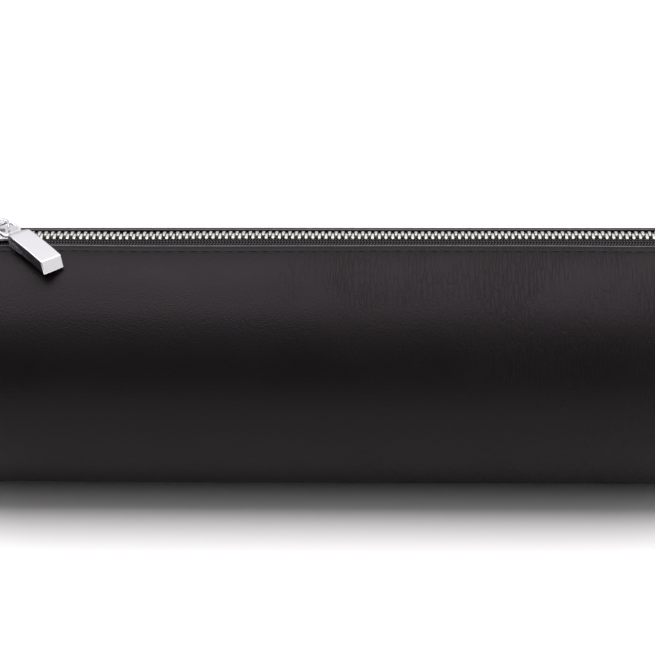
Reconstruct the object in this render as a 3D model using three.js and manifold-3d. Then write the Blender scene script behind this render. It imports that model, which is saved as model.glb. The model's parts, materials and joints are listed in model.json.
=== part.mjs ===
// A barrel-shaped leather case for fountain pens, closed by a metal zip along its top.
// Millimetres. +X runs along the case, +Z is up, and the front of the case faces -Y.
// The origin is under the middle of the case, on the surface that it lies on.
import * as THREE from "three";
import { mergeVertices } from "three/addons/utils/BufferGeometryUtils.js";
import Module from "manifold-3d";

const wasm = await Module();
wasm.setup();

// Case
const LENGTH = 210;
const RADIUS = 35;
const REST_HALF_WIDTH = 5; // half of the flat that the case rests on
const PEAK = 2.3; // the wrap stands this much proud of the circle at the zip
const PEAK_ANGLE = rad(40); // measured from the top, where the peak has died away
const GAP = 0.3; // clearance between neighbouring pieces
const AXIS_HEIGHT = Math.sqrt(RADIUS ** 2 - REST_HALF_WIDTH ** 2);

// Layers of the wall, as depths below the outer surface
const LEATHER = 1.3;
const LEATHER_AT_LIP = 0.9; // skived where it meets the zip
const BOARD = 1.5;
const LINING = 0.5;
const TAPE = 0.5;
const LIP_Y = 5.2; // edge of the leather beside the zip
const LINING_Y = 6.2;
const TAPE_EDGE_Y = 14;
const BOARD_Y = 16;

// Zip
const PITCH = 1.8;
const TEETH = 104;
const FINGER = 0.66; // width of a tooth along the zip
const TOOTH_HEIGHT = 2.1;
const TOOTH_TIP = 0.45; // how far a tooth reaches past the middle of the zip
const CORD_INNER = 1.7;
const CORD_OUTER = 2.35;
const TEETH_ABOVE_LIP = 0.95;
const CHAIN_START = -92.1;
const CHAIN_END = CHAIN_START + TEETH * PITCH;
const STOP_LENGTH = 1.8;

// Slider
const SLIDER_NOSE = -85.5; // narrow end of the slider, with the zip closed
const SLIDER_LENGTH = 11;
const NOSE_HALF = 3.5;
const TAIL_HALF = 4.3;
const PLATE = 0.9;
const FLANGE = 0.8;
const WEDGE_HALF = 0.9;
const WEDGE_LENGTH = 3.8;
const CROWN_WIDTH = 1.2;
const CROWN_METAL = 0.6;
const CROWN_REACH = 2.4; // from the pivot to the outside of each leg
const PIVOT_X = SLIDER_NOSE - 4.5;
const PIVOT_LIFT = 1.8; // above the slider's top plate

// Pull
const PULL_YAW = rad(-44); // the pull lies towards the front of the case
const PULL_PITCH = rad(12);
const PULL_WIDTH = 6.6;
const BAR_OVER = 1.8; // bar above the line through the rod
const BAR_UNDER = 1.2;
const FOOT_UNDER = 1.7;
const NECK_START = 5.6;
const BAR_START = 8.4; // where the bar has its full width
const BAR_TOP_END = 22.1;
const BAR_FOOT_END = 23.8; // the end face leans out towards its foot
const EYE_HALF = 3.1;
const EYE_ROD = 0.4; // half of the rod that runs under the crown
const EYE_HOLE_HALF = 2.45;
const EYE_HOLE_END = 5;
const EYE_THICKNESS = 0.9;

function rad(degrees) {
  return (degrees * Math.PI) / 180;
}

// 0 below a, 1 above b, and a straight rise between them.
function ramp(value, a, b) {
  return Math.min(1, Math.max(0, (value - a) / (b - a)));
}

// How far an angle is from the top, on either side of it.
function fromTop(angle) {
  return Math.abs(Math.atan2(Math.sin(angle), Math.cos(angle)));
}

// Distance from the axis to the outer surface, at an angle from the top.
function outerRadius(angle) {
  const a = fromTop(angle);
  const peak = a < PEAK_ANGLE ? (PEAK * (1 + Math.cos((Math.PI * a) / PEAK_ANGLE))) / 2 : 0;
  return RADIUS + peak;
}

// A point of the section, depth below the outer surface. Positive angles lean to the back.
function sectionPoint(angle, depth) {
  const r = outerRadius(angle) - depth;
  const z = Math.max(0, AXIS_HEIGHT + r * Math.cos(angle));
  return new THREE.Vector2(r * Math.sin(angle), z);
}

// The angle at which the section reaches a distance y from the middle, above the axis.
function angleAt(y) {
  let angle = 0;
  for (let i = 0; i < 20; i++) angle = Math.asin(y / outerRadius(angle));
  return angle;
}

const LIP_ANGLE = angleAt(LIP_Y);
const lip = sectionPoint(LIP_ANGLE, 0);
const CHAIN_Z = lip.y + TEETH_ABOVE_LIP - TOOTH_HEIGHT / 2;

// Depth of the leather's inner face.
function leatherInner(angle) {
  const t = ramp(fromTop(angle), LIP_ANGLE, LIP_ANGLE + rad(10));
  return LEATHER_AT_LIP + (LEATHER - LEATHER_AT_LIP) * t;
}

// Depth of the lining's outer face, which rises to the tape beside the zip.
function liningOuter(angle) {
  const shallow = LEATHER + TAPE + 2 * GAP + 0.2;
  const deep = LEATHER + BOARD + 2 * GAP;
  return shallow + (deep - shallow) * ramp(fromTop(angle), angleAt(12), angleAt(15.5));
}

// Extrudes a shape drawn in Y and Z along X.
function alongX(shape, x0, x1) {
  const geometry = new THREE.ExtrudeGeometry(shape, { depth: x1 - x0, bevelEnabled: false });
  const toYZ = new THREE.Matrix4().makeBasis(
    new THREE.Vector3(0, 1, 0),
    new THREE.Vector3(0, 0, 1),
    new THREE.Vector3(1, 0, 0),
  );
  return geometry.applyMatrix4(toYZ).translate(x0, 0, 0);
}

// A wall that follows the section from one angle to another, between two depths.
function wall(from, to, steps, outer, inner, x0, x1) {
  const angles = Array.from({ length: steps + 1 }, (_, i) => from + ((to - from) * i) / steps);
  const outside = angles.map((a) => sectionPoint(a, outer(a)));
  const inside = angles.map((a) => sectionPoint(a, inner(a)));
  return alongX(new THREE.Shape([...outside, ...inside.reverse()]), x0, x1);
}

// A disc across the case.
function disc(depth, x0, x1) {
  const steps = 64;
  const points = Array.from({ length: steps }, (_, i) =>
    sectionPoint(-Math.PI + (2 * Math.PI * i) / steps, depth),
  );
  return alongX(new THREE.Shape(points), x0, x1);
}

// Draws a shape in X and Y, and extrudes it up Z.
function slab(points, z0, z1) {
  const shape = new THREE.Shape(points.map(([x, y]) => new THREE.Vector2(x, y)));
  return new THREE.ExtrudeGeometry(shape, { depth: z1 - z0, bevelEnabled: false }).translate(0, 0, z0);
}

function box(x0, x1, y0, y1, z0, z1) {
  return new THREE.BoxGeometry(x1 - x0, y1 - y0, z1 - z0).translate(
    (x0 + x1) / 2,
    (y0 + y1) / 2,
    (z0 + z1) / 2,
  );
}

// Booleans
function solid(geometry) {
  const bare = geometry.index ? geometry.toNonIndexed() : geometry.clone();
  bare.deleteAttribute("normal");
  bare.deleteAttribute("uv");
  const merged = mergeVertices(bare, 1e-4);
  return new wasm.Manifold(
    new wasm.Mesh({
      numProp: 3,
      vertProperties: merged.attributes.position.array,
      triVerts: new Uint32Array(merged.index.array),
    }),
  );
}

function geometryOf(manifold) {
  const mesh = manifold.getMesh();
  const geometry = new THREE.BufferGeometry();
  geometry.setAttribute("position", new THREE.BufferAttribute(mesh.vertProperties, 3));
  geometry.setIndex(new THREE.BufferAttribute(mesh.triVerts, 1));
  geometry.computeVertexNormals();
  return geometry;
}

function join(...geometries) {
  return geometryOf(geometries.map(solid).reduce((a, b) => a.add(b)));
}

function cut(geometry, ...tools) {
  return geometryOf(tools.map(solid).reduce((a, b) => a.subtract(b), solid(geometry)));
}

// Materials
const leather = new THREE.MeshStandardMaterial({ color: 0x2a262a, roughness: 0.5 });
const board = new THREE.MeshStandardMaterial({ color: 0x8f7d66, roughness: 0.9 });
const cloth = new THREE.MeshStandardMaterial({ color: 0x3b3836, roughness: 1 });
const webbing = new THREE.MeshStandardMaterial({ color: 0x1b1a1c, roughness: 0.9 });
const nickel = new THREE.MeshStandardMaterial({ color: 0xd4d2cc, roughness: 0.3, metalness: 1 });
const chrome = new THREE.MeshStandardMaterial({ color: 0xe8e8ea, roughness: 0.12, metalness: 1 });
const steel = new THREE.MeshStandardMaterial({ color: 0x9b9b9b, roughness: 0.35, metalness: 1 });

const group = new THREE.Group();

function addPiece(name, geometry, material, parent = group) {
  const mesh = new THREE.Mesh(geometry, material);
  mesh.name = name;
  parent.add(mesh);
  return mesh;
}

// Barrel: leather wrap, board and lining, each open along the top.
const HALF = LENGTH / 2;
const END_INSIDE = HALF - LEATHER;
const BARREL_HALF = END_INSIDE - GAP;
const BOARD_HALF = BARREL_HALF - BOARD;
const ROUND = 2 * Math.PI;
const wrapped = (from, steps, outer, inner, half) =>
  wall(from, ROUND - from, steps, outer, inner, -half, half);

const surface = () => 0;
addPiece("body_leather", wrapped(LIP_ANGLE, 96, surface, leatherInner, BARREL_HALF), leather);

const boardOuter = () => LEATHER + GAP;
const boardInner = () => LEATHER + GAP + BOARD;
const boardWrap = wrapped(angleAt(BOARD_Y), 64, boardOuter, boardInner, BOARD_HALF);
addPiece("body_stiffener", boardWrap, board);

const liningInner = (angle) => liningOuter(angle) + LINING;
const liningWrap = wrapped(angleAt(LINING_Y), 64, liningOuter, liningInner, BOARD_HALF);
addPiece("body_lining", liningWrap, cloth);

// Ends: a leather disc, a board and a lining on each side, and a bound seam.
const RING_OUTER = RADIUS - LEATHER - BOARD - LINING - 3 * GAP;
const RING_THICKNESS = 0.6;
const RING_WIDTH = 8;
for (const [side, sign] of [["left", -1], ["right", 1]]) {
  const layer = (name, depth, outside, thickness, material) => {
    const a = sign * outside;
    const b = sign * (outside - thickness);
    addPiece(`${side}_${name}`, disc(depth, Math.min(a, b), Math.max(a, b)), material);
  };
  layer("end_leather", 0.6, HALF, LEATHER, leather);
  layer("end_stiffener", LEATHER + GAP, BARREL_HALF, BOARD - GAP, board);
  layer("end_lining", LEATHER + BOARD + LINING + 3 * GAP, BOARD_HALF, LINING, cloth);

  const ringEnd = BOARD_HALF - LINING - GAP;
  const profile = [
    [RING_OUTER - RING_THICKNESS, ringEnd - RING_WIDTH],
    [RING_OUTER, ringEnd - RING_WIDTH],
    [RING_OUTER, ringEnd],
    [RING_OUTER - RING_THICKNESS, ringEnd],
    [RING_OUTER - RING_THICKNESS, ringEnd - RING_WIDTH],
  ].map(([r, x]) => new THREE.Vector2(r, x));
  const ring = new THREE.LatheGeometry(profile, 64).rotateZ((-sign * Math.PI) / 2);
  addPiece(`${side}_seam_binding`, ring.translate(0, 0, AXIS_HEIGHT), webbing);
}

// Zip tapes: each runs from the cord of its teeth down under the leather.
const TAPE_HALF_LENGTH = BOARD_HALF - GAP;
const TAPE_DEPTH = LEATHER + GAP;
const tapeTop = [new THREE.Vector2(CORD_OUTER + GAP, CHAIN_Z + TAPE / 2)];
for (const y of [LIP_Y, 8, 11, TAPE_EDGE_Y]) {
  const angle = angleAt(y);
  const depth = Math.min(TAPE_DEPTH, leatherInner(angle) + GAP);
  tapeTop.push(sectionPoint(angle, depth));
}
const tapeOutline = [
  ...tapeTop,
  ...tapeTop.map((p) => new THREE.Vector2(p.x - TAPE * 0.25, p.y - TAPE)).reverse(),
];

// Zip teeth: fingers on a cord, drawn from above and as deep as a tooth.
function teethOutline(firstTooth) {
  const left = CHAIN_START - 4;
  const points = [[left, CORD_OUTER], [left, CORD_INNER]];
  for (let i = 0; i < TEETH; i++) {
    const x = firstTooth + i * PITCH;
    points.push([x, CORD_INNER], [x, -TOOTH_TIP], [x + FINGER, -TOOTH_TIP], [x + FINGER, CORD_INNER]);
  }
  points.push([CHAIN_END, CORD_INNER], [CHAIN_END, CORD_OUTER]);
  return points;
}

const TOOTH_GAP = (PITCH / 2 - FINGER) / 2;
const TOP_STOP_END = CHAIN_START - 4 - GAP;
for (const [side, sign] of [["front", -1], ["back", 1]]) {
  const mirror = (points) => points.map(([a, b]) => [a, sign * b]);
  const tape = new THREE.Shape(tapeOutline.map((p) => new THREE.Vector2(sign * p.x, p.y)));
  addPiece(`${side}_zip_tape`, alongX(tape, -TAPE_HALF_LENGTH, TAPE_HALF_LENGTH), webbing);

  const first = CHAIN_START + TOOTH_GAP + (sign > 0 ? PITCH / 2 : 0);
  const [low, high] = [CHAIN_Z - TOOTH_HEIGHT / 2, CHAIN_Z + TOOTH_HEIGHT / 2];
  addPiece(`${side}_zip_teeth`, slab(mirror(teethOutline(first)), low, high), nickel);

  const [inner, outer] = sign > 0 ? [0.5, CORD_OUTER] : [-CORD_OUTER, -0.5];
  const stop = box(TOP_STOP_END - STOP_LENGTH, TOP_STOP_END, inner, outer, low, high);
  addPiece(`${side}_top_stop`, stop, nickel);
}
const BOTTOM_STOP_START = CHAIN_END + GAP;
addPiece(
  "bottom_stop",
  box(
    BOTTOM_STOP_START,
    BOTTOM_STOP_START + 1.4 * STOP_LENGTH,
    -CORD_OUTER,
    CORD_OUTER,
    CHAIN_Z - TOOTH_HEIGHT / 2,
    CHAIN_Z + TOOTH_HEIGHT / 2,
  ),
  nickel,
);

// Slider: two plates with flanges, joined by the wedge that parts the teeth.
const INNER_Z = TOOTH_HEIGHT / 2 + GAP;
const PLATE_TOP = CHAIN_Z + INNER_Z + PLATE;
const SLOT_TOP = CHAIN_Z + GAP + TAPE / 2;
const SLOT_BOTTOM = CHAIN_Z - 1.25;
const SLIDER_TAIL = SLIDER_NOSE - SLIDER_LENGTH;
const PIN_HALF = 0.3;
const PIN_X = PIVOT_X - 1.1;

// Half of the slider's width, from its narrow nose to its wide tail.
function sliderHalf(back) {
  const t = ramp(back, 2.5, 8);
  return NOSE_HALF + (TAIL_HALF - NOSE_HALF) * t * t * (3 - 2 * t);
}

function sliderEdge(inset, from, to) {
  const steps = 8;
  return Array.from({ length: steps + 1 }, (_, i) => {
    const back = from + ((to - from) * i) / steps;
    return [SLIDER_NOSE - back, sliderHalf(back) - inset];
  });
}

function sliderPlate(z0, z1) {
  const corner = 0.8;
  const edge = sliderEdge(0, corner, SLIDER_LENGTH - corner);
  const tip = NOSE_HALF - corner;
  const tail = TAIL_HALF - corner;
  const halfOutline = [[SLIDER_NOSE, tip], ...edge, [SLIDER_TAIL, tail]];
  const other = halfOutline.map(([x, y]) => [x, -y]).reverse();
  return slab([...halfOutline, ...other], z0, z1);
}

function sliderFlange(sign, z0, z1) {
  const outside = sliderEdge(0, 0.9, 9.2);
  const inside = sliderEdge(FLANGE, 0.9, 9.2).reverse();
  return slab([...outside, ...inside].map(([x, y]) => [x, sign * y]), z0, z1);
}

const wedge = slab(
  [
    [SLIDER_TAIL + WEDGE_LENGTH, 0],
    [SLIDER_TAIL + WEDGE_LENGTH - 1.4, WEDGE_HALF],
    [SLIDER_TAIL + 0.6, WEDGE_HALF],
    [SLIDER_TAIL + 0.6, -WEDGE_HALF],
    [SLIDER_TAIL + WEDGE_LENGTH - 1.4, -WEDGE_HALF],
  ],
  CHAIN_Z - INNER_Z - PLATE / 2,
  CHAIN_Z + INNER_Z + PLATE / 2,
);
const pinHole = box(
  PIN_X - PIN_HALF - GAP,
  PIN_X + PIN_HALF + GAP,
  -PIN_HALF - GAP,
  PIN_HALF + GAP,
  CHAIN_Z,
  PLATE_TOP + 1,
);
const plates = join(
  sliderPlate(CHAIN_Z + INNER_Z, PLATE_TOP),
  sliderPlate(CHAIN_Z - INNER_Z - PLATE, CHAIN_Z - INNER_Z),
  wedge,
  ...[-1, 1].flatMap((sign) => [
    sliderFlange(sign, SLOT_TOP, PLATE_TOP - PLATE / 2),
    sliderFlange(sign, CHAIN_Z - INNER_Z - PLATE / 2, SLOT_BOTTOM),
  ]),
);
addPiece("slider_body", cut(plates, pinHole), chrome);

// Crown: a strip bent into an arch, standing on the slider.
function crownGeometry() {
  const shape = new THREE.Shape();
  const bend = 1.2;
  const foot = 0.05;
  const top = PIVOT_LIFT + 1.5;
  const inner = CROWN_REACH - CROWN_METAL;
  shape.moveTo(-CROWN_REACH, foot);
  shape.lineTo(-CROWN_REACH, top - bend);
  shape.absarc(-CROWN_REACH + bend, top - bend, bend, Math.PI, Math.PI / 2, true);
  shape.absarc(CROWN_REACH - bend, top - bend, bend, Math.PI / 2, 0, true);
  shape.lineTo(CROWN_REACH, foot);
  shape.lineTo(inner, foot);
  const inside = bend - CROWN_METAL;
  shape.absarc(CROWN_REACH - bend, top - bend, inside, 0, Math.PI / 2, false);
  shape.absarc(-CROWN_REACH + bend, top - bend, inside, Math.PI / 2, Math.PI, false);
  shape.lineTo(-inner, foot);
  const strip = new THREE.ExtrudeGeometry(shape, {
    depth: CROWN_WIDTH,
    bevelEnabled: false,
    curveSegments: 6,
  });
  return strip.translate(0, 0, -CROWN_WIDTH / 2).rotateX(Math.PI / 2);
}
const crown = addPiece("slider_crown", crownGeometry(), chrome);
crown.position.set(PIVOT_X, 0, PLATE_TOP);

// Lock: a leaf on the plate under the pull's eye, with a pin that drops between the teeth.
const LEAF = 0.3;
const LEAF_Z = PLATE_TOP + 0.1;
const leaf = box(PIN_X - PIN_HALF, PIVOT_X + 1, -PIN_HALF, PIN_HALF, LEAF_Z, LEAF_Z + LEAF);
const pin = box(
  PIN_X - PIN_HALF,
  PIN_X + PIN_HALF,
  -PIN_HALF,
  PIN_HALF,
  PLATE_TOP - PLATE - 0.2,
  LEAF_Z + LEAF,
);
addPiece("lock_spring", join(leaf, pin), steel);

// Pull: a flat eye round the crown, a neck, and a heavy bar with an arched top.
function pullGeometry() {
  const hole = [
    [EYE_ROD, -EYE_HOLE_HALF],
    [EYE_HOLE_END - 1, -EYE_HOLE_HALF],
    [EYE_HOLE_END, -1],
    [EYE_HOLE_END, 1],
    [EYE_HOLE_END - 1, EYE_HOLE_HALF],
    [EYE_ROD, EYE_HOLE_HALF],
  ];
  const outline = [
    [-EYE_ROD, -EYE_HALF + 0.7],
    [0.3, -EYE_HALF],
    [EYE_HOLE_END - 0.8, -EYE_HALF],
    [NECK_START, -2],
    [BAR_START, -PULL_WIDTH / 2],
    [BAR_START, PULL_WIDTH / 2],
    [NECK_START, 2],
    [EYE_HOLE_END - 0.8, EYE_HALF],
    [0.3, EYE_HALF],
    [-EYE_ROD, EYE_HALF - 0.7],
  ];
  const half = EYE_THICKNESS / 2;
  const eye = cut(slab(outline, -half, half), slab(hole, -half - 1, half + 1));

  // The bar's side view, in X and Z. It is arched a little, to lie along the round case.
  const side = new THREE.Shape();
  const arch = 0.3;
  const belly = BAR_START + 0.62 * (BAR_FOOT_END - BAR_START);
  side.moveTo(NECK_START + 0.4, -half);
  side.lineTo(BAR_START, -BAR_UNDER);
  side.lineTo(belly, -BAR_UNDER);
  side.lineTo(BAR_FOOT_END - 0.3, -FOOT_UNDER);
  side.lineTo(BAR_FOOT_END, 0.3 - FOOT_UNDER);
  side.lineTo(BAR_TOP_END, BAR_OVER - arch);
  side.quadraticCurveTo((BAR_START + BAR_TOP_END) / 2, BAR_OVER + arch, BAR_START, BAR_OVER);
  side.lineTo(NECK_START + 0.4, half);
  const bar = new THREE.ExtrudeGeometry(side, {
    depth: PULL_WIDTH,
    bevelEnabled: false,
    curveSegments: 10,
  });
  const block = bar.translate(0, 0, -PULL_WIDTH / 2).rotateX(Math.PI / 2);

  // The neck narrows towards the eye, so both corners of the block's back are cut off.
  const corners = [-1, 1].map((sign) => {
    const corner = [
      [NECK_START - 1, 1.6],
      [NECK_START, 2],
      [BAR_START, PULL_WIDTH / 2],
      [BAR_START, PULL_WIDTH],
      [NECK_START - 1, PULL_WIDTH],
    ];
    return slab(corner.map(([x, y]) => [x, sign * y]), -2 * BAR_OVER, 2 * BAR_OVER);
  });
  return join(eye, cut(block, ...corners));
}

const swing = new THREE.Group();
swing.position.set(PIVOT_X, 0, PLATE_TOP + PIVOT_LIFT);
swing.rotation.set(0, PULL_PITCH, PULL_YAW, "ZYX");
group.add(swing);
addPiece("pull_bar", pullGeometry(), chrome, swing);

export default group;
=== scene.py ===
# %% [markdown]
# # A barrel pen case in black leather
# The frame holds every rigid part of the case at its real size. This lesson gives each one its looks:
# leather that is sewn and skived, a woven tape, nickel teeth and a chrome pull. All lengths are in metres.

# %% Load the frame and keep its box
import bmesh
import bpy
import json
import math
from mathutils import Matrix, Vector, noise


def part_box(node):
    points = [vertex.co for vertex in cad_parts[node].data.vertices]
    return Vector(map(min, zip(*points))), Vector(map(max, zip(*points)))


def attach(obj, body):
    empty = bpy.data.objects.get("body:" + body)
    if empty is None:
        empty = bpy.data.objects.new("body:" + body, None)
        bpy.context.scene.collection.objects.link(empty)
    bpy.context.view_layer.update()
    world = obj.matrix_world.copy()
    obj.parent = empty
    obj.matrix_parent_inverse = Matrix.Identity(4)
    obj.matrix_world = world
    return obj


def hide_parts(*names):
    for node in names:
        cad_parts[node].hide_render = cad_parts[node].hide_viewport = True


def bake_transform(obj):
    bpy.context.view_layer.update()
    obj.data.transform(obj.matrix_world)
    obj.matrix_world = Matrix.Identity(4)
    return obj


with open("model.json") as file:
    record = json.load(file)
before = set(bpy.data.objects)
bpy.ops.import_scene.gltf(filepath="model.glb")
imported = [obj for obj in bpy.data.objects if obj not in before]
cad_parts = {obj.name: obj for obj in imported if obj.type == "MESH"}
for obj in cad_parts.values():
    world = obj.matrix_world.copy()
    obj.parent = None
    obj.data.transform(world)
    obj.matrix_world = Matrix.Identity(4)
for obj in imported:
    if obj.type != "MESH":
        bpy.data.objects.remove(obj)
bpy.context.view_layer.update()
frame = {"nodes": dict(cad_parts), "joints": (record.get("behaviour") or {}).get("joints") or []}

MM = 0.001

# %% [markdown]
# ## The section of the barrel
# The wrap is a circle that rises to a low peak at the zip, because the two lips push each other up.
# Every layer follows that one curve at its own depth, so one function gives the point for an angle from
# the top and a depth below the surface. The sizes come from the frame's own boxes.

# %% Section
wrap_low, wrap_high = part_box("body_leather")
RADIUS = (wrap_high.y - wrap_low.y) / 2
REST_HALF_WIDTH = 5 * MM
AXIS_Z = math.sqrt(RADIUS**2 - REST_HALF_WIDTH**2)
PEAK = 2.3 * MM
PEAK_ANGLE = math.radians(40)
WRAP_HALF = wrap_high.x
CASE_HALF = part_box("right_end_leather")[1].x
LIP_Y = 5.2 * MM


def from_top(angle):
    return abs(math.atan2(math.sin(angle), math.cos(angle)))


def outer_radius(angle):
    a = from_top(angle)
    if a > PEAK_ANGLE:
        return RADIUS
    return RADIUS + PEAK * (1 + math.cos(math.pi * a / PEAK_ANGLE)) / 2


def section(angle, depth):
    r = outer_radius(angle) - depth
    return Vector((0, r * math.sin(angle), max(0.0, AXIS_Z + r * math.cos(angle))))


def angle_at(y):
    angle = 0.0
    for _ in range(20):
        angle = math.asin(y / outer_radius(angle))
    return angle


LIP_ANGLE = angle_at(LIP_Y)
print("radius", round(RADIUS / MM, 2), "lip at", round(math.degrees(LIP_ANGLE), 1), "degrees")

# %% [markdown]
# ## Helpers for meshes
# A wrapped layer is a closed profile carried along the case, so one sweep makes leather, board, lining
# and tape alike. Each point also stores where it lies on the flat hide, along the case and around it.
# The materials read that, so grain and weave keep their real size and never stretch.

# %% Meshes
def new_object(name, verts, faces, flat=None, smooth=True):
    mesh = bpy.data.meshes.new(name)
    mesh.from_pydata([tuple(v) for v in verts], [], faces)
    mesh.update()
    if flat is not None:
        spread = mesh.attributes.new("flat", "FLOAT_VECTOR", "POINT")
        spread.data.foreach_set("vector", [c for v in flat for c in v])
    bm = bmesh.new()
    bm.from_mesh(mesh)
    bmesh.ops.recalc_face_normals(bm, faces=bm.faces)
    bm.to_mesh(mesh)
    bm.free()
    mesh.polygons.foreach_set("use_smooth", [smooth] * len(mesh.polygons))
    obj = bpy.data.objects.new(name, mesh)
    bpy.context.collection.objects.link(obj)
    return obj


def sweep(name, xs, profile):
    """profile(x) gives a closed loop of (point, arc) pairs, the same number at every x."""
    verts, flat, faces = [], [], []
    loops = [profile(x) for x in xs]
    count = len(loops[0])
    for x, loop in zip(xs, loops):
        for point, arc in loop:
            verts.append((x + point.x, point.y, point.z))
            flat.append((x, arc, 0.0))
    for i in range(len(xs) - 1):
        for j in range(count):
            k = (j + 1) % count
            a, b = i * count, (i + 1) * count
            faces.append((a + j, a + k, b + k, b + j))
    faces.append(tuple(range(count)))
    faces.append(tuple((len(xs) - 1) * count + j for j in range(count)))
    obj = new_object(name, verts, faces, flat)
    obj.data.set_sharp_from_angle(angle=math.radians(50))
    return obj


def apply_modifiers(obj):
    graph = bpy.context.evaluated_depsgraph_get()
    made = bpy.data.meshes.new_from_object(obj.evaluated_get(graph))
    obj.modifiers.clear()
    obj.data = made
    return obj


def soften(obj, width, segments=2, angle=30, sharp=40):
    """Rounds a hard piece's edges, as tumbling and plating do, and keeps its flats flat."""
    bevel = obj.modifiers.new("edges", "BEVEL")
    bevel.width = width
    bevel.segments = segments
    bevel.limit_method = "ANGLE"
    bevel.angle_limit = math.radians(angle)
    apply_modifiers(obj)
    obj.data.polygons.foreach_set("use_smooth", [True] * len(obj.data.polygons))
    obj.data.set_sharp_from_angle(angle=math.radians(sharp))
    weight = obj.modifiers.new("flats", "WEIGHTED_NORMAL")
    weight.keep_sharp = True
    weight.weight = 90
    return apply_modifiers(obj)


def prism(name, outline, z0, z1):
    """A flat outline in X and Y, carried up from z0 to z1."""
    n = len(outline)
    verts = [(x, y, z) for z in (z0, z1) for x, y in outline]
    sides = [(i, (i + 1) % n, n + (i + 1) % n, n + i) for i in range(n)]
    caps = [tuple(range(n)), tuple(range(n, 2 * n))]
    return new_object(name, verts, sides + caps, smooth=False)


def joined(name, objs):
    """One piece of several: the meshes are copied into one, and the parts are removed."""
    bm = bmesh.new()
    for o in objs:
        o.data.transform(o.matrix_world)
        bm.from_mesh(o.data)
    mesh = bpy.data.meshes.new(name)
    bm.to_mesh(mesh)
    bm.free()
    for o in objs:
        bpy.data.objects.remove(o)
    obj = bpy.data.objects.new(name, mesh)
    bpy.context.collection.objects.link(obj)
    return obj


def spaced(a, b, step):
    n = max(1, round((b - a) / step))
    return [a + (b - a) * i / n for i in range(n + 1)]


def smooth_step(t):
    t = min(1.0, max(0.0, t))
    return t * t * (3 - 2 * t)


# %% [markdown]
# ## Node groups
# Three effects are used by more than one material, so each is built once as a group: cloth made of
# crossing ribs, a fine pebble grain with creases, and the faint cloudiness of a handled surface. A group
# gives back only masks and heights. The shaders stay in the materials.

# %% Node helpers
def group(name, inputs, outputs):
    tree = bpy.data.node_groups.new(name, "ShaderNodeTree")
    for label, kind, value in inputs:
        socket = tree.interface.new_socket(name=label, in_out="INPUT", socket_type="NodeSocket" + kind)
        if value is not None:
            socket.default_value = value
    for label, kind in outputs:
        tree.interface.new_socket(name=label, in_out="OUTPUT", socket_type="NodeSocket" + kind)
    return tree, tree.nodes.new("NodeGroupInput"), tree.nodes.new("NodeGroupOutput")


def node(tree, kind, values=(), links=(), **settings):
    made = tree.nodes.new("ShaderNode" + kind)
    for key, value in settings.items():
        setattr(made, key, value)
    for key, value in dict(values).items():
        made.inputs[key].default_value = value
    for key, source in dict(links).items():
        tree.links.new(source, made.inputs[key])
    return made


def maths(tree, operation, a, b=0.0, clamp=False):
    made = tree.nodes.new("ShaderNodeMath")
    made.operation = operation
    made.use_clamp = clamp
    for i, value in enumerate((a, b)):
        if isinstance(value, (int, float)):
            made.inputs[i].default_value = value
        else:
            tree.links.new(value, made.inputs[i])
    return made.outputs[0]


def scaled(tree, vector, scale):
    made = node(tree, "VectorMath", operation="MULTIPLY", links={0: vector})
    made.inputs[1].default_value = scale
    return made.outputs[0]


def noise_at(tree, vector, scale, detail=3.0, rough=0.55):
    values = {"Scale": scale, "Detail": detail, "Roughness": rough}
    return node(tree, "TexNoise", values, {"Vector": vector}).outputs[0]


# %% Grain group
grain, g_in, g_out = group(
    "hide_grain",
    [("Vector", "Vector", None), ("Pebble", "Float", 0.5), ("Crease", "Float", 0.5)],
    [("Height", "Float"), ("Gloss", "Float")],
)
at = g_in.outputs["Vector"]
wander = noise_at(grain, at, 260, 2)
pushed = node(grain, "VectorMath", operation="MULTIPLY_ADD", links={0: wander, 2: at})
pushed.inputs[1].default_value = (0.0006, 0.0006, 0.0)
cells = node(
    grain,
    "TexVoronoi",
    {"Scale": 2900.0, "Randomness": 1.0},
    {"Vector": pushed.outputs[0]},
    feature="SMOOTH_F1",
)
long_way = scaled(grain, pushed.outputs[0], (1.0, 0.16, 1.0))
lines = node(
    grain,
    "TexVoronoi",
    {"Scale": 950.0},
    {"Vector": long_way},
    feature="DISTANCE_TO_EDGE",
)
line = node(grain, "MapRange", {"From Min": 0.0, "From Max": 0.09}, {0: lines.outputs[0]})
along_case = node(grain, "SeparateXYZ", links={0: at}).outputs[0]
patches = maths(grain, "ADD", noise_at(grain, at, 28, 3, 0.6), maths(grain, "MULTIPLY", along_case, 1.7))
where = node(grain, "MapRange", {"From Min": 0.46, "From Max": 0.66}, {0: patches})
line_depth = maths(grain, "MULTIPLY", maths(grain, "SUBTRACT", 1.0, line.outputs[0]), where.outputs[0])
creases = maths(grain, "MULTIPLY", line_depth, g_in.outputs["Crease"])
pebbles = maths(grain, "MULTIPLY", cells.outputs[0], g_in.outputs["Pebble"])
height = maths(grain, "SUBTRACT", maths(grain, "SUBTRACT", 1.0, pebbles), creases)
grain.links.new(height, g_out.inputs["Height"])
grain.links.new(creases, g_out.inputs["Gloss"])
print("grain group:", len(grain.nodes), "nodes")

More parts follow.
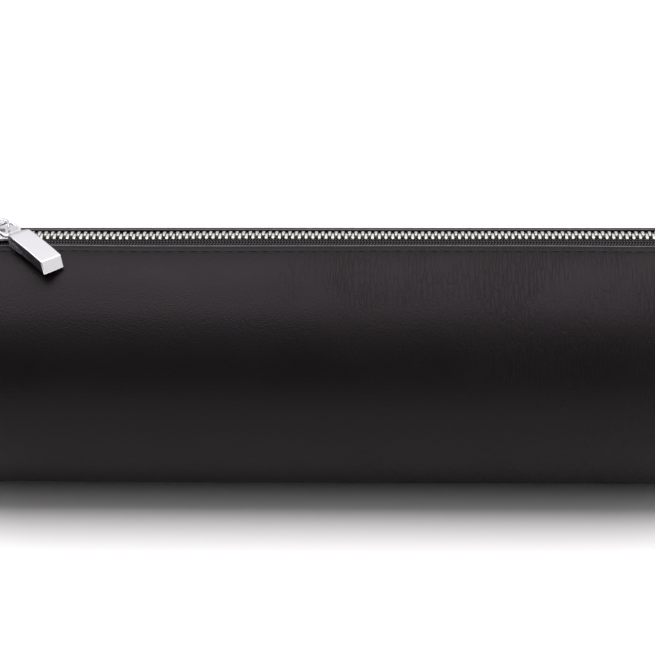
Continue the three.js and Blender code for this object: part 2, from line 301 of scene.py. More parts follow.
# %% Weave group
weave, w_in, w_out = group(
    "crossing_ribs",
    [("Vector", "Vector", None), ("Pitch", "Float", 0.0006), ("Slant", "Float", 0.5)],
    [("Height", "Float"), ("Fuzz", "Float")],
)
parts = node(weave, "SeparateXYZ", links={0: w_in.outputs["Vector"]})
turn = maths(weave, "DIVIDE", 2 * math.pi, w_in.outputs["Pitch"])
along, across = (maths(weave, "MULTIPLY", parts.outputs[i], turn) for i in (0, 1))
zigzag = maths(weave, "PINGPONG", maths(weave, "MULTIPLY", across, 0.5), math.pi)
leaning = maths(weave, "ADD", along, maths(weave, "MULTIPLY", zigzag, w_in.outputs["Slant"]))
warp = maths(weave, "ABSOLUTE", maths(weave, "SINE", maths(weave, "MULTIPLY", leaning, 0.5)))
weft = maths(weave, "ABSOLUTE", maths(weave, "SINE", maths(weave, "MULTIPLY", across, 0.5)))
ribs = maths(weave, "ADD", maths(weave, "MULTIPLY", warp, 0.7), maths(weave, "MULTIPLY", weft, 0.3))
fuzz = noise_at(weave, w_in.outputs["Vector"], 2600, 2)
weave.links.new(maths(weave, "ADD", ribs, maths(weave, "MULTIPLY", fuzz, 0.25)), w_out.inputs["Height"])
weave.links.new(fuzz, w_out.inputs["Fuzz"])
print("weave group:", len(weave.nodes), "nodes")

# %% Handling group
handled, h_in, h_out = group(
    "handled_clouds",
    [("Vector", "Vector", None), ("Size", "Float", 40.0)],
    [("Cloud", "Float"), ("Speck", "Float")],
)
tree_at = h_in.outputs["Vector"]
cloud = node(handled, "TexNoise", {"Detail": 4.0}, {"Vector": tree_at, "Scale": h_in.outputs["Size"]})
speck_noise = node(handled, "TexNoise", {"Scale": 900.0, "Detail": 1.0}, {"Vector": tree_at})
specks = node(handled, "MapRange", {"From Min": 0.7, "From Max": 0.78}, {0: speck_noise.outputs[0]})
handled.links.new(cloud.outputs[0], h_out.inputs["Cloud"])
handled.links.new(specks.outputs[0], h_out.inputs["Speck"])


# %% [markdown]
# ## Finishes
# Each finish is one Principled shader whose colour, roughness and normal come from the groups. Whatever
# is the same all over a surface is typed on the shader itself.

# %% Finish helpers
def finish(name, values):
    made = bpy.data.materials.new(name)
    made.use_nodes = True
    tree = made.node_tree
    shader = tree.nodes["Principled BSDF"]
    for key, value in values.items():
        shader.inputs[key].default_value = value
    return made, tree, shader


def use_group(tree, which, vector, values):
    made = node(tree, "Group", links={}, node_tree=which)
    tree.links.new(vector, made.inputs["Vector"])
    for key, value in values.items():
        made.inputs[key].default_value = value
    return made


def bump(tree, shader, height, distance, strength=1.0):
    made = node(tree, "Bump", {"Distance": distance, "Strength": strength}, {"Height": height})
    tree.links.new(made.outputs[0], shader.inputs["Normal"])
    return made


def spread_colour(tree, shader, factor, dark, light):
    made = node(tree, "Mix", data_type="RGBA", links={0: factor})
    made.inputs[6].default_value = (*dark, 1)
    made.inputs[7].default_value = (*light, 1)
    tree.links.new(made.outputs[2], shader.inputs["Base Color"])


def spread_roughness(tree, shader, factor, low, high):
    made = node(tree, "MapRange", {"To Min": low, "To Max": high}, {0: factor})
    tree.links.new(made.outputs[0], shader.inputs["Roughness"])


def flat_place(tree):
    return node(tree, "Attribute", attribute_name="flat").outputs["Vector"]


def object_place(tree):
    return node(tree, "TexCoord").outputs["Object"]


# %% Leather, lining and board
leather, tree, shader = finish("black_calf", {"Specular IOR Level": 0.155})
shader.inputs["Specular Tint"].default_value = (1.0, 0.90, 0.97, 1)
hide = use_group(tree, grain, flat_place(tree), {"Pebble": 0.8, "Crease": 0.6})
clouds = use_group(tree, handled, flat_place(tree), {"Size": 30.0})
DEEP_BLACK = (0.0040, 0.0031, 0.0038)
WORN_BLACK = (0.0064, 0.0050, 0.0060)
spread_colour(tree, shader, clouds.outputs["Cloud"], DEEP_BLACK, WORN_BLACK)
dullness = maths(tree, "ADD", clouds.outputs["Cloud"], hide.outputs["Gloss"])
spread_roughness(tree, shader, dullness, 0.32, 0.52)
bump(tree, shader, hide.outputs["Height"], 0.0001, 0.9)

# The lip corner's finish is a painted highlight: a light grey, speckled by a cloud noise, where light
# would catch the rounded corner.
lip_corner_highlight, tree, shader = finish("lip_corner_painted_highlight", {"Specular IOR Level": 0.3})
highlight_speckle = use_group(tree, handled, object_place(tree), {"Size": 420.0})
spread_colour(tree, shader, highlight_speckle.outputs["Cloud"], (0.03, 0.026, 0.029), (0.17, 0.155, 0.165))
spread_roughness(tree, shader, highlight_speckle.outputs["Cloud"], 0.5, 0.8)
bump(tree, shader, highlight_speckle.outputs["Cloud"], 0.00012, 0.6)

lining, tree, shader = finish("brushed_cloth", {"Specular IOR Level": 0.15, "Sheen Weight": 0.4})
shader.inputs["Sheen Roughness"].default_value = 0.5
threads = use_group(tree, weave, flat_place(tree), {"Pitch": 0.0009, "Slant": 1.0})
spread_colour(tree, shader, threads.outputs["Fuzz"], (0.030, 0.027, 0.028), (0.062, 0.057, 0.056))
spread_roughness(tree, shader, threads.outputs["Fuzz"], 0.85, 1.0)
bump(tree, shader, threads.outputs["Height"], 0.00012, 0.5)

board, tree, shader = finish("leather_board", {"Specular IOR Level": 0.2})
fibres = use_group(tree, handled, object_place(tree), {"Size": 300.0})
spread_colour(tree, shader, fibres.outputs["Cloud"], (0.16, 0.115, 0.07), (0.3, 0.23, 0.15))
spread_roughness(tree, shader, fibres.outputs["Cloud"], 0.8, 0.95)
bump(tree, shader, fibres.outputs["Cloud"], 0.0001, 0.4)

# %% Tape and thread
tape, tree, shader = finish("woven_tape", {"Specular IOR Level": 0.15})
threads = use_group(tree, weave, flat_place(tree), {"Pitch": 0.0008, "Slant": 1.6})
# Painted glints and painted shade: the weave's crests are coloured light grey and its hollows near black.
crest_glints = maths(tree, "MULTIPLY", maths(tree, "SUBTRACT", threads.outputs["Height"], 0.78), 3.2, clamp=True)
spread_colour(tree, shader, crest_glints, (0.0015, 0.0013, 0.0015), (0.085, 0.077, 0.083))
spread_roughness(tree, shader, threads.outputs["Fuzz"], 0.55, 0.85)
bump(tree, shader, threads.outputs["Height"], 0.0003, 1.0)

thread, tree, shader = finish("waxed_thread", {"Specular IOR Level": 0.3, "Sheen Weight": 0.1})
twist = use_group(tree, weave, object_place(tree), {"Pitch": 0.0005, "Slant": 1.5})
spread_colour(tree, shader, twist.outputs["Height"], (0.005, 0.004, 0.0048), (0.013, 0.011, 0.0125))
spread_roughness(tree, shader, twist.outputs["Fuzz"], 0.45, 0.7)
bump(tree, shader, twist.outputs["Height"], 0.00008, 0.6)

# %% Metals
nickel, tree, shader = finish("nickel_teeth", {"Metallic": 1.0})
rubbed = use_group(tree, handled, object_place(tree), {"Size": 500.0})
spread_colour(tree, shader, rubbed.outputs["Cloud"], (0.72, 0.72, 0.67), (0.92, 0.91, 0.87))
spread_roughness(tree, shader, rubbed.outputs["Cloud"], 0.2, 0.42)
bump(tree, shader, rubbed.outputs["Speck"], 0.00002, 0.3)

chrome, tree, shader = finish("polished_chrome", {"Metallic": 1.0})
rubbed = use_group(tree, handled, object_place(tree), {"Size": 160.0})
spread_colour(tree, shader, rubbed.outputs["Cloud"], (0.87, 0.855, 0.885), (0.93, 0.92, 0.945))
spread_roughness(tree, shader, rubbed.outputs["Cloud"], 0.07, 0.17)
bump(tree, shader, rubbed.outputs["Cloud"], 0.00002, 0.15)

spring_steel, tree, shader = finish("spring_steel", {"Metallic": 1.0})
rubbed = use_group(tree, handled, object_place(tree), {"Size": 300.0})
spread_colour(tree, shader, rubbed.outputs["Cloud"], (0.32, 0.32, 0.33), (0.5, 0.5, 0.5))
spread_roughness(tree, shader, rubbed.outputs["Cloud"], 0.25, 0.45)
print("finishes:", [m.name for m in bpy.data.materials if m.users])


def dress(obj, material):
    obj.data.materials.clear()
    obj.data.materials.append(material)
    return obj


# %% [markdown]
# ## Walls of the barrel
# The mouth of an open case gapes like a lens: shut at both ends and widest in the middle. Each layer is
# cut in four, front and back, left and right.


def bend_to_lip(obj):
    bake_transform(obj)


# %% [markdown]
# ## The leather wrap
# A skived hide is thinner at the lip, its cut edge is burnished round, and the seam to the tape pulls a
# shallow trough along the stitches. At each end the hide turns in to meet the round end. A little slow
# unevenness keeps the highlights from running dead straight, as hide over board does.

# %% Leather profile
LEATHER = 1.3 * MM
LEATHER_AT_LIP = 0.85 * MM
STITCH_INSET = 2.0 * MM
TURN_IN = 2.4 * MM
END_DRAW = 0.75  # how much of the turn at an end draws the hide in
EDGE_STEPS = 5
LIP_STEP = 0.35 * MM
LIP_STEPS = 14
LEVEL_REACH = 0.02
SLOW_WAVE, QUICK_WAVE, WAVE_INSET = 0.16 * MM, 0.05 * MM, 0.06 * MM
WAVES_FROM_LIP = 12 * MM
LIP_WANDER = 0.42 * MM
TROUGH, TROUGH_HALF = 0.16 * MM, 0.55 * MM
SWELL, SWELL_HALF, SWELL_PLACE = 0.06 * MM, 0.6 * MM, 1.1 * MM
THIN_LIP_ANGLE = math.radians(10)  # the skived edge thickens over this angle
WANDER_FADE = 0.3  # radians from the lip over which its wander dies away


def level_middle(x):
    """Stretches x so that a noise read with it is level in the middle, where the quarters meet."""
    return x * abs(x) / (abs(x) + LEVEL_REACH)


def slow_waves(x, angle):
    """Slow unevenness of the hide, on the whole a little inside its true surface."""
    p = Vector((level_middle(x) * 22, math.cos(angle) * 1.3, math.sin(angle) * 1.3 + 5))
    return noise.noise(p) * SLOW_WAVE + noise.noise(p * 3.1) * QUICK_WAVE - WAVE_INSET


def lip_drift(x):
    """The sewn edge wanders a little along the case."""
    return noise.noise(Vector((level_middle(x) * 31, 3.3, 1.7))) * LIP_WANDER


def end_turn(x):
    """How far the surface has turned in near the ends."""
    into = TURN_IN - (WRAP_HALF - abs(x))
    if into <= 0:
        return 0.0
    return TURN_IN - math.sqrt(max(0.0, TURN_IN**2 - into**2))


def thickness_at(angle):
    t = smooth_step((angle - LIP_ANGLE) / THIN_LIP_ANGLE)
    return LEATHER_AT_LIP + (LEATHER - LEATHER_AT_LIP) * t


def leather_depth(angle, x):
    arc = (from_top(angle) - LIP_ANGLE) * RADIUS
    trough = TROUGH * math.exp(-(((arc - STITCH_INSET) / TROUGH_HALF) ** 2))
    swell = SWELL * math.exp(-(((arc - SWELL_PLACE) / SWELL_HALF) ** 2))
    calm = smooth_step(arc / WAVES_FROM_LIP)
    return trough - swell + END_DRAW * end_turn(x) - slow_waves(x, angle) * calm


def lip_angles():
    near = [LIP_ANGLE + i * LIP_STEP / RADIUS for i in range(LIP_STEPS)]
    return near + spaced(near[-1] + 0.02, math.pi, math.radians(1.6))


def paint_lip_highlight(obj, count):
    """Paints a highlight on the hide's rounded lip corner: the last strips of the outer surface get a
    lighter finish.
    """
    obj.data.materials.append(lip_corner_highlight)
    loop_length = 2 * count + EDGE_STEPS - 1
    strips = (count - 2, count - 1)
    for index, face in enumerate(obj.data.polygons[:-2]):
        if index % loop_length in strips:
            face.material_index = 1


def leather_loop(side_sign):
    angles = lip_angles()

    def loop(x):
        drift = lip_drift(x) / RADIUS
        found = []
        for angle in reversed(angles):
            a = angle + drift * (1 - smooth_step((angle - LIP_ANGLE) / WANDER_FADE))
            point = section(side_sign * a, leather_depth(angle, x))
            found.append((point, side_sign * angle * RADIUS))
        edge = LIP_ANGLE + drift
        for i in range(1, EDGE_STEPS):
            turn = math.pi * i / EDGE_STEPS
            half = LEATHER_AT_LIP / 2
            depth = half - half * math.cos(turn)
            a = edge - half * 0.55 * math.sin(turn) / RADIUS
            point = section(side_sign * a, depth + END_DRAW * end_turn(x))
            found.append((point, side_sign * edge * RADIUS))
        for angle in angles:
            a = angle + drift * (1 - smooth_step((angle - LIP_ANGLE) / WANDER_FADE))
            depth = thickness_at(angle) + END_DRAW * end_turn(x)
            found.append((section(side_sign * a, depth), side_sign * angle * RADIUS))
        return found

    return loop


def half_xs(x_sign, end, step=2.2 * MM):
    fine = [end - TURN_IN * (1 - math.cos(math.pi / 2 * i / 6)) for i in range(7)]
    coarse = spaced(0.0, end - TURN_IN, step)[:-1]
    xs = coarse + list(reversed(fine))
    return [x_sign * x for x in xs]


# %% Leather wrap
SIDES = (("front", -1), ("back", 1))
ENDS = (("left", -1), ("right", 1))
for side, side_sign in SIDES:
    for end, x_sign in ENDS:
        hide_piece = sweep(f"leather_{side}_{end}", half_xs(x_sign, WRAP_HALF), leather_loop(side_sign))
        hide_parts("body_leather")
        bend_to_lip(hide_piece)
        dress(hide_piece, leather)
        # The last strips at the lip get the lighter finish, a painted highlight along the corner.
        paint_lip_highlight(hide_piece, len(lip_angles()))
print("leather quarter:", len(hide_piece.data.polygons), "faces")

# %% [markdown]
# ## Board and lining
# The board stops short of the zip, and the cloth lining turns up to meet the tape and is caught by the
# same stitches. Both are plain wrapped layers, so each is the same sweep with its own depths.

# %% Inner layers
GAP = 0.3 * MM
BOARD = 1.5 * MM
LINING = 0.5 * MM
BOARD_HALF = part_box("body_stiffener")[1].x


def lining_depth(angle):
    shallow = LEATHER + 0.5 * MM + 2 * GAP + 0.2 * MM
    deep = LEATHER + BOARD + 2 * GAP
    y = outer_radius(angle) * math.sin(min(from_top(angle), math.pi / 2))
    return shallow + (deep - shallow) * smooth_step((y - 12 * MM) / (3.5 * MM))


def layer_loop(side_sign, first, outer, inner):
    angles = spaced(first, math.pi, math.radians(3))

    def loop(x):
        outside = [(section(side_sign * a, outer(a)), side_sign * a * RADIUS) for a in angles]
        inside = [(section(side_sign * a, inner(a)), side_sign * a * RADIUS) for a in angles]
        return outside + inside[::-1]

    return loop


def cloth_ripple(a):
    return lining_depth(a) + LINING


LAYERS = (
    ("board", "body_stiffener", 16 * MM, lambda a: LEATHER + GAP, lambda a: LEATHER + GAP + BOARD, board),
    ("lining", "body_lining", 6.2 * MM, lining_depth, cloth_ripple, lining),
)
for layer, cad_node, first_y, outer, inner, material in LAYERS:
    for side, side_sign in SIDES:
        for end, x_sign in ENDS:
            loop = layer_loop(side_sign, angle_at(first_y), outer, inner)
            xs = [x_sign * x for x in spaced(0.0, BOARD_HALF, 4 * MM)]
            piece = sweep(f"{layer}_{side}_{end}", xs, loop)
            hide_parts(cad_node)
            bend_to_lip(piece)
            dress(piece, material)

# %% [markdown]
# ## Round ends
# Each end is a disc of the same hide, sewn inside out and turned. It swells a little over its board and
# rolls into the seam groove at its rim. A grid of rings that follow the peaked section gives that form.

# %% Leather ends
END_INSET = 0.35 * MM
END_ROLL = 2.0 * MM
RING_COUNT = 26
AROUND = 128


def end_form(share):
    """Distance in from the case's end for a ring at this share of the rim."""
    puff = 0.55 * MM * share**3
    roll_start = 1 - END_ROLL / RADIUS
    if share <= roll_start:
        return puff
    into = (share - roll_start) / (1 - roll_start)
    return puff + END_ROLL * (1 - math.sqrt(max(0.0, 1 - into**2)))


def leather_end(end, x_sign):
    shares = [math.sin(math.pi / 2 * i / RING_COUNT) for i in range(RING_COUNT + 1)][1:]

    def uneven(y, z, share):
        wave = 1 + noise.noise(Vector((y * 40, z * 40, x_sign * 3)))
        return wave * 0.09 * MM * (1 - share**2)

    verts = [(x_sign * (CASE_HALF - uneven(0, AXIS_Z, 0)), 0, AXIS_Z)]
    flat = [(0, AXIS_Z, 0.3 * x_sign)]
    faces = []

    def add_ring(share, inward):
        first = len(verts)
        for j in range(AROUND):
            angle = 2 * math.pi * j / AROUND
            p = section(angle, END_INSET)
            y, z = p.y * share, AXIS_Z + (p.z - AXIS_Z) * share
            verts.append((x_sign * (CASE_HALF - inward - uneven(y, z, share)), y, z))
            flat.append((y, z, 0.3 * x_sign))
        return first

    def bridge(a, b):
        for j in range(AROUND):
            k = (j + 1) % AROUND
            faces.append((a + j, a + k, b + k, b + j))

    previous = add_ring(shares[0], end_form(shares[0]))
    faces.extend((0, previous + j, previous + (j + 1) % AROUND) for j in range(AROUND))
    for share in shares[1:]:
        following = add_ring(share, end_form(share))
        bridge(previous, following)
        previous = following
    for share in (0.97, 0.9, 0.5):
        following = add_ring(share, end_form(1.0) + 0.6 * MM * (1.03 - share))
        bridge(previous, following)
        previous = following
    faces.append(tuple(previous + j for j in range(AROUND)))
    return new_object(f"end_leather_{end}", verts, faces, flat)


for end, x_sign in ENDS:
    cap = leather_end(end, x_sign)
    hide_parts(f"{end}_end_leather")
    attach(cap, "case")
    dress(cap, leather)

# %% Inner discs and bound seams keep their own solids
for end, _ in ENDS:
    for part, material in (("end_stiffener", board), ("end_lining", lining), ("seam_binding", tape)):
        inner_piece = frame["nodes"][f"{end}_{part}"]
        inner_piece.data.materials.clear()
        inner_piece.data.materials.append(material)
print("ends and linings done")

# %% [markdown]
# ## The zip's tapes
# A zip tape is a ribbon whose inner edge is wound round a cord, and each tooth bites on that cord. From
# there the ribbon dips under the skived lip, where it is sewn between leather and lining. The chain
# wanders by a hair along the case, so one function gives that drift to tape and teeth alike.

# %% Tapes
chain_low, chain_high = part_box("back_zip_teeth")
CHAIN_Z = (chain_low.z + chain_high.z) / 2
TOOTH_HEIGHT = chain_high.z - chain_low.z
TAPE_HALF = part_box("front_zip_tape")[1].x
TAPE = 0.5 * MM
TAPE_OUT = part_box("back_zip_tape")[1].y
CORD_Y = 2.05 * MM
CORD_RADIUS = 0.55 * MM
CHAIN_WANDER = 0.7 * MM
TAPE_DIP_START = 2.5 * MM
TAPE_FADE = 4 * MM  # the ribbon stops following the chain's wander over this width


def zip_drift(x):
    """Sideways wander of the chain. It dies away where the slider rests."""
    calm = 1 - smooth_step((abs(x) - 66 * MM) / (14 * MM))
    return noise.noise(Vector((level_middle(x) * 26, 8.1, 0.4))) * CHAIN_WANDER * calm


def tape_top(y):
    under_lip = section(angle_at(LIP_Y), LEATHER_AT_LIP + GAP).z
    crest = CHAIN_Z + TAPE / 2
    if y < LIP_Y:
        return crest + (under_lip - crest) * smooth_step((y - TAPE_DIP_START) / (LIP_Y - TAPE_DIP_START))
    angle = angle_at(y)
    return section(angle, thickness_at(angle) + GAP).z


def tape_loop(side_sign):
    bare = spaced(CORD_Y + CORD_RADIUS * 0.9, LIP_Y, 0.35 * MM)
    ribbon = bare + spaced(LIP_Y + 0.8 * MM, TAPE_OUT, 1.2 * MM)
    bead = [math.radians(a) for a in range(50, 331, 20)]

    def loop(x):
        drift = zip_drift(x)
        found = []
        for y in reversed(ribbon):
            shift = drift * (1 - smooth_step((y - 2 * MM) / TAPE_FADE))
            found.append((Vector((0, side_sign * y + shift, tape_top(y))), side_sign * y))
        for a in bead:
            y = CORD_Y + CORD_RADIUS * math.cos(a)
            z = CHAIN_Z + CORD_RADIUS * math.sin(a)
            found.append((Vector((0, side_sign * y + drift, z)), side_sign * (CORD_Y - CORD_RADIUS * a)))
        for y in ribbon:
            shift = drift * (1 - smooth_step((y - 2 * MM) / TAPE_FADE))
            found.append((Vector((0, side_sign * y + shift, tape_top(y) - TAPE)), side_sign * y))
        return found

    return loop


for side, side_sign in SIDES:
    for end, x_sign in ENDS:
        xs = [x_sign * x for x in spaced(0.0, TAPE_HALF, 2 * MM)]
        ribbon = sweep(f"tape_{side}_{end}", xs, tape_loop(side_sign))
        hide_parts(f"{side}_zip_tape")
        bend_to_lip(ribbon)
        dress(ribbon, tape)
print("tape quarter:", len(ribbon.data.polygons), "faces")

# %% [markdown]
# ## Teeth
# A stamped tooth has two legs clamped on the cord and a narrower nose that sits between the noses of the
# other row. One tooth is drawn, softened and copied along both rows, half a pitch apart. Each copy gets
# its own hair of height and tilt, so the row glitters as stamped metal does.

# %% Teeth
PITCH = 1.8 * MM
TEETH = 104
LEAD = 4 * MM
CHAIN_START = chain_low.x + LEAD
NOSE_WIDTH, LEG_WIDTH = 0.7 * MM, 0.8 * MM
NOSE_Y, SHOULDER_Y, LEG_Y = -0.45 * MM, 0.75 * MM, 2.28 * MM
CHEEK_Y = 1.45 * MM


def tooth_mesh():
    n, leg = NOSE_WIDTH / 2, LEG_WIDTH / 2
    right = [
        (0.6 * n, NOSE_Y),
        (n, NOSE_Y + 0.16 * MM),
        (n, SHOULDER_Y - 0.1 * MM),
        (leg, CHEEK_Y),
        (leg, CHEEK_Y + 0.4 * MM),
        (leg, LEG_Y - 0.25 * MM),
        (0.7 * leg, LEG_Y),
    ]
    outline = right + [(-x, y) for x, y in reversed(right)]
    tooth = prism("tooth", outline, -TOOTH_HEIGHT / 2, TOOTH_HEIGHT / 2)
    mesh = tooth.data
    for v in mesh.vertices:
        fall = max(0.0, (v.co.y - CHEEK_Y) / (LEG_Y - CHEEK_Y))
        v.co.z *= 1 - 0.2 * fall**2
    soften(tooth, 0.12 * MM, 3)
    mesh = tooth.data
    found = [v.co.copy() for v in mesh.vertices], [tuple(p.vertices) for p in mesh.polygons]
    bpy.data.objects.remove(tooth)
    return found


tooth_verts, tooth_faces = tooth_mesh()


def tooth_row(side, side_sign, x_sign):
    verts, faces = [], []
    stagger = PITCH / 2 if side_sign > 0 else 0
    first = CHAIN_START + PITCH / 4 + stagger
    for i in range(TEETH):
        x = first + i * PITCH
        if x * x_sign <= 0:
            continue
        wobble = noise.noise_vector(Vector((i * 3.7, side_sign * 9.0, 2.0)))
        turn = Matrix.Rotation(0.05 * wobble.x, 4, "Y") @ Matrix.Rotation(0.03 * wobble.y, 4, "Z")
        flip = Matrix.Scale(-1, 4, (0, 1, 0)) if side_sign < 0 else Matrix.Identity(4)
        place = Matrix.Translation((x, zip_drift(x), CHAIN_Z + 0.05 * MM * wobble.z)) @ flip @ turn
        base = len(verts)
        verts.extend(place @ v for v in tooth_verts)
        faces.extend(tuple(base + k for k in f) for f in tooth_faces)
    row = new_object(f"teeth_{side}_{'left' if x_sign < 0 else 'right'}", verts, faces)
    row.data.set_sharp_from_angle(angle=math.radians(40))
    return row


for side, side_sign in SIDES:
    for end, x_sign in ENDS:
        row = tooth_row(side, side_sign, x_sign)
        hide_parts(f"{side}_zip_teeth")
        bend_to_lip(row)
        dress(row, nickel)
print("tooth:", len(tooth_faces), "faces, quarter row:", len(row.data.polygons))

# %% [markdown]
# ## Stops
# Two clamped stops keep the slider on at the closed end, and one wide stop joins both rows at the other
# end. They are bent from flat nickel wire, so each is a rounded block on its CAD place.

# %% Stops
def block_outline(low, high, corner):
    points = []
    for cx, cy, start in (
        (high.x - corner, high.y - corner, 0),
        (low.x + corner, high.y - corner, 90),
        (low.x + corner, low.y + corner, 180),
        (high.x - corner, low.y + corner, 270),
    ):
        for step in range(4):
            a = math.radians(start + 30 * step)
            points.append((cx + corner * math.cos(a), cy + corner * math.sin(a)))
    return points


for stop in ("front_top_stop", "back_top_stop", "bottom_stop"):
    low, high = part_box(stop)
    clip = prism(f"clip_{stop}", block_outline(low, high, 0.3 * MM), low.z, high.z)
    soften(clip, 0.22 * MM, 3)
    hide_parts(stop)
    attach(clip, "case")
    dress(clip, nickel)

# %% [markdown]
# ## Stitches
# A lockstitch sinks into its holes and lies proud between them, leaning a little because the needle's
# holes are slanted. Each stitch is a short bent tube, and a row of them lies in the trough of each lip.

# %% Stitches
STITCH = 3.23 * MM
THREAD_RADIUS = 0.14 * MM
STITCH_REACH = 0.44 * STITCH
STITCH_RINGS = 8
STITCH_SIDES = 8
PROUD = 0.06 * MM
SUNK = 0.34 * MM


def stitch_rows(side_sign, x_sign):
    verts, faces = [], []
    arc = STITCH_INSET / RADIUS
    count = int((WRAP_HALF - 4 * MM) / STITCH)
    for k in range(count):
        middle = x_sign * (k + 0.5) * STITCH
        lean = 0.05 * MM + 0.03 * MM * noise.noise(Vector((k * 2.1, side_sign, x_sign * 5.0)))
        first = len(verts)
        for i in range(STITCH_RINGS):
            t = -1 + 2 * i / (STITCH_RINGS - 1)
            x = middle + t * STITCH_REACH
            angle = side_sign * (LIP_ANGLE + arc + lip_drift(x) / RADIUS)
            lift = PROUD - (PROUD + SUNK) * abs(t) ** 4
            depth = leather_depth(LIP_ANGLE + arc, x) - lift
            p = section(angle, depth) + Vector((x, side_sign * lean * t, 0))
            out = Vector((0, math.sin(angle), math.cos(angle)))
            aside = Vector((0, math.cos(angle), -math.sin(angle)))
            for j in range(STITCH_SIDES):
                a = 2 * math.pi * j / STITCH_SIDES
                verts.append(p + THREAD_RADIUS * (math.cos(a) * aside + math.sin(a) * out))
        for i in range(STITCH_RINGS - 1):
            for j in range(STITCH_SIDES):
                k2 = (j + 1) % STITCH_SIDES
                a, b = first + i * STITCH_SIDES, first + (i + 1) * STITCH_SIDES
                faces.append((a + j, a + k2, b + k2, b + j))
        last = first + (STITCH_RINGS - 1) * STITCH_SIDES
        faces.append(tuple(first + j for j in range(STITCH_SIDES)))
        faces.append(tuple(last + j for j in range(STITCH_SIDES)))
    return verts, faces


for side, side_sign in SIDES:
    for end, x_sign in ENDS:
        seam = new_object(f"stitches_{side}_{end}", *stitch_rows(side_sign, x_sign))
        bend_to_lip(seam)
        dress(seam, thread)
print("stitches in a quarter:", len(seam.data.polygons) // (STITCH_RINGS * STITCH_SIDES))

# %% [markdown]
# ## Slider
# The slider is cast in one piece: two plates, flanges that hug the teeth, and a wedge at the wide end that
# parts them. Each element is drawn from above with one curve for the flanks, softened, and joined.

# %% Slider body
slider_low, slider_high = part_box("slider_body")
NOSE_X, TAIL_X = slider_high.x, slider_low.x
SLIDER_LENGTH = NOSE_X - TAIL_X
TAIL_HALF = slider_high.y
NOSE_HALF = 3.5 * MM
PLATE = 0.9 * MM
FLANGE = 0.8 * MM


def flank(back):
    t = smooth_step((back - 2.5 * MM) / (5.5 * MM))
    return NOSE_HALF + (TAIL_HALF - NOSE_HALF) * t


def plate_outline(inset):
    corner = 1.1 * MM
    half = []
    for i in range(5):
        a = math.pi / 2 * i / 4
        half.append((corner * (1 - math.sin(a)), NOSE_HALF - corner * (1 - math.cos(a))))
    half = [(back, y) for back, y in reversed(half)][::-1]
    edge = [(b, flank(b)) for b in spaced(corner + 0.4 * MM, SLIDER_LENGTH - corner, 0.8 * MM)]
    tail = []
    for i in range(5):
        a = math.pi / 2 * i / 4
        tail.append((SLIDER_LENGTH - corner * (1 - math.sin(a)), TAIL_HALF - corner * (1 - math.cos(a))))
    notch = [(SLIDER_LENGTH - 0.9 * MM, 0.9 * MM)]
    side = sorted(half, key=lambda p: p[0]) + edge + tail + notch
    one = [(NOSE_X - b, y - inset) for b, y in side]
    return one + [(x, -y) for x, y in reversed(one)]


def flange_outline(sign):
    backs = spaced(0.9 * MM, 9.2 * MM, 0.7 * MM)
    outside = [(NOSE_X - b, sign * flank(b)) for b in backs]
    inside = [(NOSE_X - b, sign * (flank(b) - FLANGE)) for b in reversed(backs)]
    return outside + inside


top_z = slider_high.z
slot_top = CHAIN_Z + GAP + TAPE / 2
slot_bottom = CHAIN_Z - 1.25 * MM
cast = [
    soften(prism("top_plate", plate_outline(0.0), top_z - PLATE, top_z), 0.3 * MM, 4),
    soften(prism("low_plate", plate_outline(0.0), slider_low.z, slider_low.z + PLATE), 0.3 * MM, 3),
]
for sign in (-1, 1):
    outline = flange_outline(sign)
    upper = prism("upper_flange", outline, slot_top, top_z - 0.3 * PLATE)
    cast.append(soften(upper, 0.16 * MM, 3))
    lower = prism("lower_flange", outline, slider_low.z + 0.3 * PLATE, slot_bottom)
    cast.append(soften(lower, 0.16 * MM, 3))
WEDGE_HALF = 0.9 * MM
wedge_x = TAIL_X + 3.8 * MM
wedge = [
    (wedge_x, 0.0),
    (wedge_x - 1.4 * MM, WEDGE_HALF),
    (TAIL_X + 0.9 * MM, WEDGE_HALF),
    (TAIL_X + 0.9 * MM, -WEDGE_HALF),
    (wedge_x - 1.4 * MM, -WEDGE_HALF),
]
cast.append(soften(prism("wedge", wedge, slider_low.z + 0.3 * PLATE, top_z - 0.3 * PLATE), 0.15 * MM, 2))
slider = joined("slider_casting", cast)
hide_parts("slider_body")
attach(slider, "slider")
dress(slider, chrome)

# %% [markdown]
# ## Crown
# The crown is a strip bent over the pull's rod. Its side view is two arcs and a short flat, given as an
# outline and carried across by the strip's width.

# %% Crown
crown_low, crown_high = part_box("slider_crown")
PIVOT = Vector(next(j["pos_m"] for j in frame["joints"] if j["name"] == "pull_lift"))


def upright(name, outline, y0, y1):
    """A side view in X and Z, carried across from y0 to y1."""
    obj = prism(name, outline, y0, y1)
    obj.data.transform(Matrix(((1, 0, 0, 0), (0, 0, 1, 0), (0, 1, 0, 0), (0, 0, 0, 1))))
    bm = bmesh.new()
    bm.from_mesh(obj.data)
    bmesh.ops.recalc_face_normals(bm, faces=bm.faces)
    bm.to_mesh(obj.data)
    bm.free()
    return obj


def arch(reach, top, bend, foot):
    points = [(-reach, foot)]
    for centre, start in ((-reach + bend, 180), (reach - bend, 90)):
        for i in range(9):
            a = math.radians(start - 90 * i / 8)
            points.append((centre + bend * math.cos(a), top - bend + bend * math.sin(a)))
    return points + [(reach, foot)]


reach = (crown_high.x - crown_low.x) / 2
strip = 0.6 * MM
outside = arch(reach, crown_high.z, 1.6 * MM, crown_low.z - 0.1 * MM)
inside = arch(reach - strip, crown_high.z - strip, 1.0 * MM, crown_low.z - 0.1 * MM)
outline = [(PIVOT.x + x, z) for x, z in outside + inside[::-1]]
crown = soften(upright("crown_strip", outline, crown_low.y, crown_high.y), 0.16 * MM, 3)
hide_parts("slider_crown")
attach(crown, "slider")
dress(crown, chrome)
lock = frame["nodes"]["lock_spring"]
lock.data.materials.clear()
lock.data.materials.append(spring_steel)

